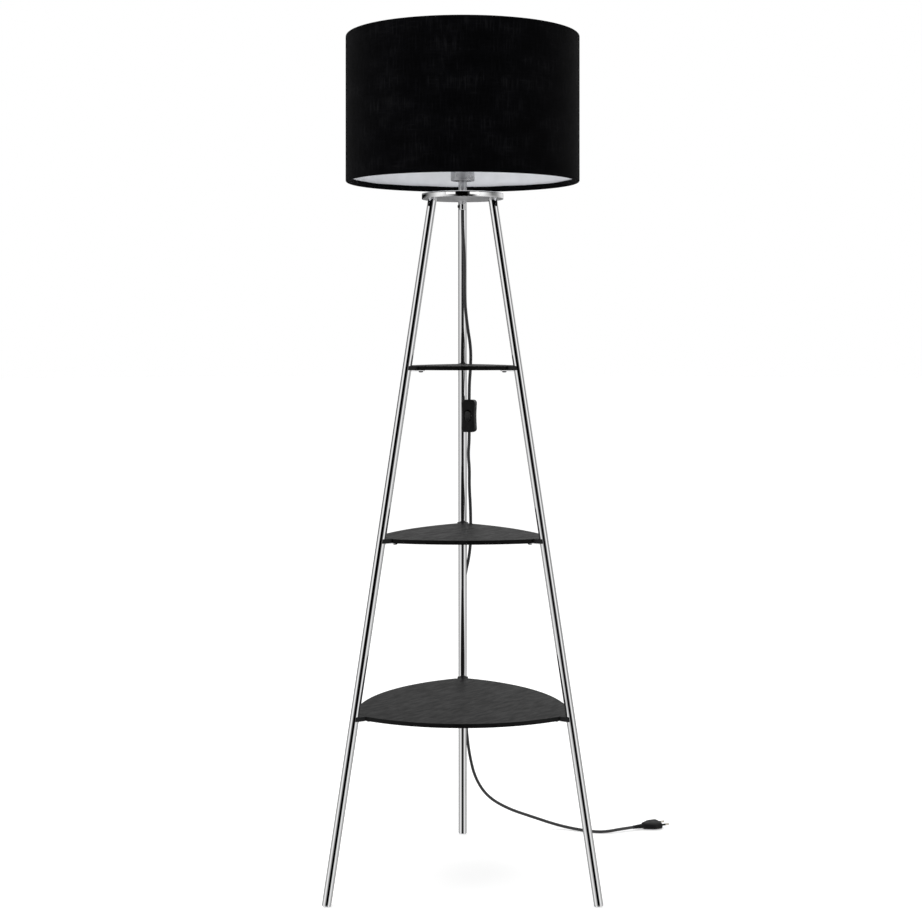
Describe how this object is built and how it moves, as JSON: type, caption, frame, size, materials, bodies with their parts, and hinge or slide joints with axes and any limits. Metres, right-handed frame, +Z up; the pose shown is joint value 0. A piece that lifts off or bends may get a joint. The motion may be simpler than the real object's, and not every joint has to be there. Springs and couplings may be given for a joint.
{
  "type": "shelf floor lamp",
  "caption": "Floor lamp on leaning chrome tube legs that carry shelves with bulging sides, under a black drum shade, with a cord, an in-line rocker switch and a plug.",
  "frame": {"origin": "on the lamp's vertical axis, midway between the feet, at floor level", "axes": "+Z up, -Y towards the front where two legs stand left and right, +Y towards the rear leg, +X to the right"},
  "size_m": [0.658, 0.5422, 1.53],
  "materials": {
    "chrome": "mirror-bright chrome plating",
    "plain_steel": "plain zinc-grey steel",
    "plated_screws": "zinc-plated",
    "black_screw": "black nylon",
    "holder_metal": "satin grey",
    "holder_ceramic": "unglazed off-white",
    "brass": "plain",
    "pin_metal": "nickel-plated",
    "bulb_metal": "plain thread",
    "bulb_plastic": "white",
    "bulb_glass": "frosted white",
    "shade_cloth": "black woven cloth",
    "shade_lining": "white laminate",
    "white_wire": "white powder coat",
    "clamp_plastic": "white",
    "black_wood": "black-stained grain",
    "black_plastic": "fine satin",
    "cord_sheath": "matt black sheath"
  },
  "bodies": {
    "lamp": {"bulb_cap": "bulb_metal", "bulb_globe": "bulb_glass", "bulb_housing": "bulb_plastic", "cord_grip": "chrome", "cord_grip_screw": "black_screw", "foot_cap_front_left": "chrome", "foot_cap_front_right": "chrome", "foot_cap_rear": "chrome", "holder_contact": "brass", "holder_cup": "holder_metal", "holder_insulator": "holder_ceramic", "holder_shell": "holder_metal", "holder_terminals": "brass", "holder_thread_sleeve": "brass", "leg_front_left": "chrome", "leg_front_right": "chrome", "leg_inserts": "plain_steel", "leg_plate": "plain_steel", "leg_rear": "chrome", "leg_screws": "plain_steel", "lower_brackets": "plain_steel", "lower_cord": "cord_sheath", "lower_saddle_front_left": "black_plastic", "lower_saddle_front_right": "black_plastic", "lower_saddle_rear": "black_plastic", "lower_shelf": "black_wood", "lower_shelf_screws": "plated_screws", "middle_brackets": "plain_steel", "middle_saddle_front_left": "black_plastic", "middle_saddle_front_right": "black_plastic", "middle_saddle_rear": "black_plastic", "middle_shelf": "black_wood", "middle_shelf_screws": "plated_screws", "plug_body": "black_plastic", "plug_pins": "pin_metal", "plug_relief": "black_plastic", "shade_carrier": "white_wire", "shade_clamp_ring": "clamp_plastic", "shade_cloth": "shade_cloth", "shade_lining": "shade_lining", "shade_lower_ring": "white_wire", "shade_upper_ring": "white_wire", "stem": "plain_steel", "stem_lead": "cord_sheath", "stem_nut": "plain_steel", "stem_sleeve": "chrome", "switch_base": "black_plastic", "switch_contacts": "brass", "switch_cover": "black_plastic", "switch_pivot_pin": "plated_screws", "switch_screws": "plated_screws", "top_cap": "chrome", "upper_brackets": "plain_steel", "upper_cord": "cord_sheath", "upper_saddle_front_left": "black_plastic", "upper_saddle_front_right": "black_plastic", "upper_saddle_rear": "black_plastic", "upper_shelf": "black_wood", "upper_shelf_screws": "plated_screws"},
    "rocker": {"switch_rocker": "black_plastic"}
  },
  "joints": [
    {"name": "rocker_turn", "type": "hinge", "parent": "lamp", "child": "rocker", "pos_m": [0.01098, 0.09669, 0.8365], "axis": [0.9659, -0.2588, 0], "range_deg": [-14, 0]}
  ]
}
